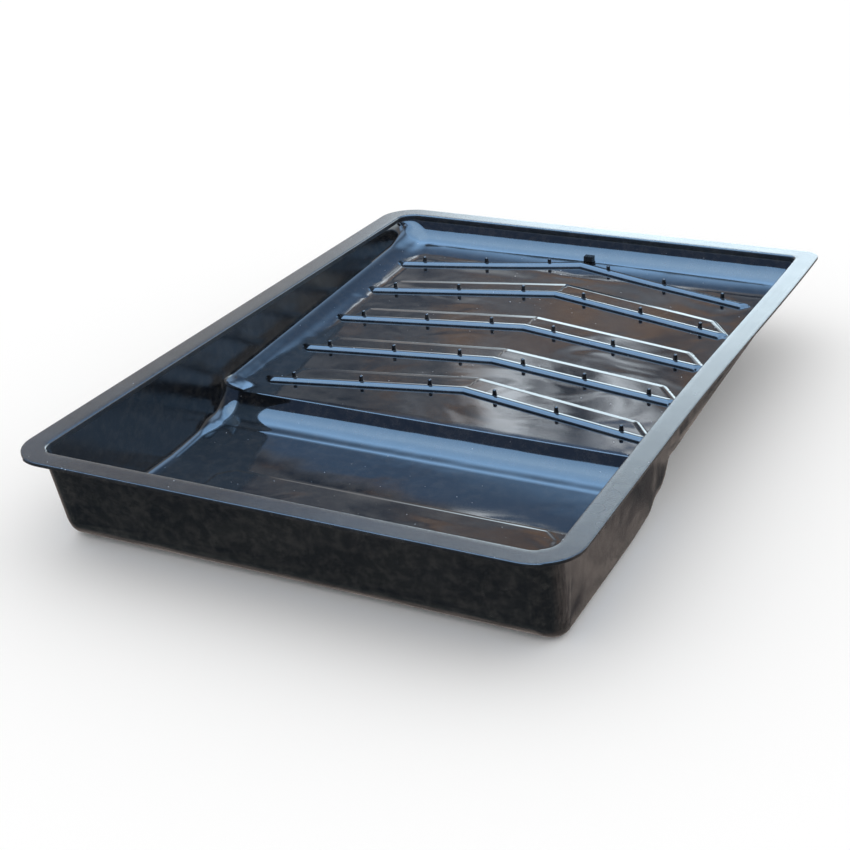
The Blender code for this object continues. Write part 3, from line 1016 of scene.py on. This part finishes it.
class Garden:
    """What lies in each direction round the tray. Angles are in degrees; heading 0 is +Y, over the ramp."""

    def __init__(self, graph, direction):
        self.graph = graph
        self.direction = direction
        across, along, up = graph.split(direction)
        self.elevation = graph.math("DEGREES", graph.math("ARCSINE", up))
        self.heading = graph.math("DEGREES", graph.math("ARCTAN2", across, along))
        self.front = graph.smooth(graph.math("ABSOLUTE", self.heading), 70.0, 110.0)
        self.tall = graph.window(self.heading, (-23.0, -9.0), (70.0, 40.0))
        self.above = graph.math("SUBTRACT", self.elevation, self.skyline())

    def skyline(self):
        """Elevation of the tree tops: higher in front and to the right, and ragged."""
        graph = self.graph
        ragged = graph.noise(self.direction, 9.0, 3.0, 0.6)
        skyline = graph.math("MULTIPLY_ADD", self.front, 10.0, 33.0)
        skyline = graph.math("MULTIPLY_ADD", self.tall, 5.0, skyline)
        return graph.math("MULTIPLY_ADD", ragged, 3.0, skyline)

    def streaks(self, stretch, *settings):
        """Noise stretched sideways, so that it varies more with elevation."""
        return self.graph.noise(self.graph.stretch(self.direction, stretch), *settings)

    def sky(self):
        """Blue that brightens upward."""
        graph = self.graph
        height = graph.math("MULTIPLY_ADD", self.front, 12.0, self.elevation)
        height = graph.math("MULTIPLY_ADD", self.tall, -8.0, height)
        sky = graph.mix(graph.smooth(height, 36.0, 52.0), LOW_SKY, MIDDLE_SKY)
        return graph.mix(graph.smooth(height, 55.0, 85.0), sky, HIGH_SKY)

    def woods(self):
        """Leaves, lit leaves and trunks."""
        graph = self.graph
        leaves = self.streaks((8.0, 8.0, 34.0), 1.0, 5.0, 0.6, 0.9)
        trunks = self.streaks((9.0, 9.0, 38.0), 1.3, 4.0, 0.55, 1.2)
        woods = graph.mix(graph.smooth(leaves, 0.40, 0.56), DARK_LEAVES, LEAVES)
        woods = graph.mix(graph.smooth(leaves, 0.60, 0.70), woods, LIGHT_LEAVES)
        return graph.mix(graph.smooth(trunks, 0.56, 0.60), woods, TRUNKS)

    def trees(self):
        """The woods, with haze low down, light through the tree tops and an opening behind the ramp."""
        graph, heading, elevation = self.graph, self.heading, self.elevation
        pale = graph.product(graph.smooth(heading, -26.0, -32.0), graph.smooth(elevation, 25.0, 21.0))
        haze = graph.product(graph.smooth(heading, -32.0, -29.0), graph.smooth(elevation, 28.0, 26.5), 0.7)
        gaps = graph.smooth(self.streaks((24.0, 24.0, 60.0), 1.0, 3.0, 0.6), 0.40, 0.54)
        near_top = graph.window(self.above, (-3.8, -2.0), (0.4, -0.6))
        top_width = graph.window(heading, (-28.5, -26.0), (-17.0, -21.0))
        opening_width = graph.window(heading, (-29.0, -21.0), (40.0, 22.0))
        opening_height = graph.window(elevation, (2.0, 8.0), (27.5, 22.5))
        trees = graph.mix(pale, self.woods(), PALE_LEAVES)
        trees = graph.mix(haze, trees, HAZE)
        trees = graph.mix(graph.product(gaps, near_top, top_width), trees, LEAF_GAPS)
        trees = graph.mix(graph.product(opening_width, opening_height), trees, OPENING)
        hedge = graph.mix(graph.smooth(elevation, 6.0, 18.0), HEDGE_FOOT, HEDGE)
        return graph.mix(self.front, trees, hedge)

    def ground(self):
        """Mottled soil, in shade on the front's side."""
        graph = self.graph
        soil = self.streaks((34.0, 34.0, 44.0), 1.0, 9.0, 0.70, 0.4)
        ground = graph.mix(graph.smooth(soil, 0.42, 0.58), DARK_SOIL, SOIL)
        shade = graph.mix(graph.smooth(soil, 0.40, 0.62), DARK_SHADE, SHADE)
        shade = graph.mix(graph.smooth(self.elevation, -38.0, -12.0), shade, FAR_SHADE)
        return graph.mix(self.front, ground, shade)

    def colour(self):
        """All of it: trees with the sky over them, a glow to the right, and the ground below."""
        graph = self.graph
        colour = graph.mix(graph.smooth(self.above, -0.6, 0.9), self.trees(), self.sky())
        glow_width = graph.window(self.heading, (-4.0, 32.0), (75.0, 45.0))
        glow_height = graph.window(self.elevation, (22.0, 27.0), (50.0, 38.0))
        colour = graph.mix(graph.product(glow_width, glow_height), colour, GLOW)
        return graph.mix(graph.smooth(self.elevation, 0.5, -0.5), colour, self.ground())


def make_world():
    """Plain white to the camera and to the floor; to glossy plastic, a garden under an open sky."""
    world = bpy.data.worlds.new("studio")
    bpy.context.scene.world = world
    world.use_nodes = True
    world.cycles.sampling_method = "NONE"
    graph = Graph(world.node_tree)
    garden = Garden(graph, graph.node("ShaderNodeTexCoord").outputs["Generated"])
    glossy = graph.node("ShaderNodeLightPath").outputs["Is Glossy Ray"]
    background = graph.node("ShaderNodeBackground")
    graph.feed(background.inputs["Color"], graph.mix(glossy, STUDIO_WHITE, garden.colour()))
    output = graph.node("ShaderNodeOutputWorld")
    graph.feed(output.inputs["Surface"], background.outputs["Background"])


def make_floor():
    """A wide pale floor, just under the tray."""
    bm = bmesh.new()
    bmesh.ops.create_circle(bm, cap_ends=True, segments=64, radius=6.0)
    mesh = bpy.data.meshes.new("studio_floor")
    bm.to_mesh(mesh)
    bm.free()
    floor = add_object("studio_floor", mesh)
    floor.location.z = -0.0001
    floor.visible_glossy = False
    material = bpy.data.materials.new("studio_floor")
    material.use_nodes = True
    shader = material.node_tree.nodes["Principled BSDF"]
    shader.inputs["Base Color"].default_value = FLOOR_WHITE
    shader.inputs["Roughness"].default_value = 1.0
    shader.inputs["Specular IOR Level"].default_value = 0.0
    assign(floor, material)


def make_camera():
    """A camera in front of the well and to its right, looking down at the tray."""
    data = bpy.data.cameras.new("camera")
    data.lens = CAMERA_LENS
    data.sensor_width = SENSOR_WIDTH
    camera = bpy.data.objects.new("camera", data)
    bpy.context.scene.collection.objects.link(camera)
    a, e, r = CAMERA_AZIMUTH, CAMERA_ELEVATION, CAMERA_ROLL
    back = Vector((sin(a) * cos(e), -cos(a) * cos(e), sin(e)))
    right = Vector((cos(a), sin(a), 0.0))
    up = back.cross(right)
    x_axis = right * cos(r) + up * sin(r)
    y_axis = up * cos(r) - right * sin(r)
    turn = Matrix((x_axis, y_axis, back)).transposed().to_4x4()
    camera.matrix_world = Matrix.Translation(CAMERA_PLACE) @ turn
    bpy.context.scene.camera = camera


def add_sheet(gloss, satin):
    """The body and the flange."""
    plain, raised = skin_grid()
    body = tray_body(plain, raised)
    assign(body, gloss)
    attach(body, "root")
    sheet = [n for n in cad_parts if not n.startswith(("rim_", "pin_", "back_lug"))]
    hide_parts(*sheet)

    flange = tray_flange(rim_loop(plain))
    assign(flange, satin)
    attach(flange, "root")
    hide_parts("rim_front", "rim_back", "rim_left", "rim_right")


def add_details(gloss):
    """The pins and the lug."""
    for rib in range(len(RIB_RISES)):
        for place in range(len(PIN_XS)):
            pin = rib_pin(rib, place)
            assign(pin, gloss)
            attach(pin, "root")
            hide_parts(f"pin_{rib + 1}_{place + 1}")
    lug = deck_lug()
    assign(lug, gloss)
    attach(lug, "root")
    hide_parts("back_lug")


def main():
    gloss = plastic("gloss_black_plastic", **GLOSS)
    satin = plastic("satin_black_plastic", **SATIN)
    add_sheet(gloss, satin)
    add_details(gloss)
    make_world()
    make_floor()
    make_camera()
    bpy.context.scene.view_settings.view_transform = "Standard"


main()
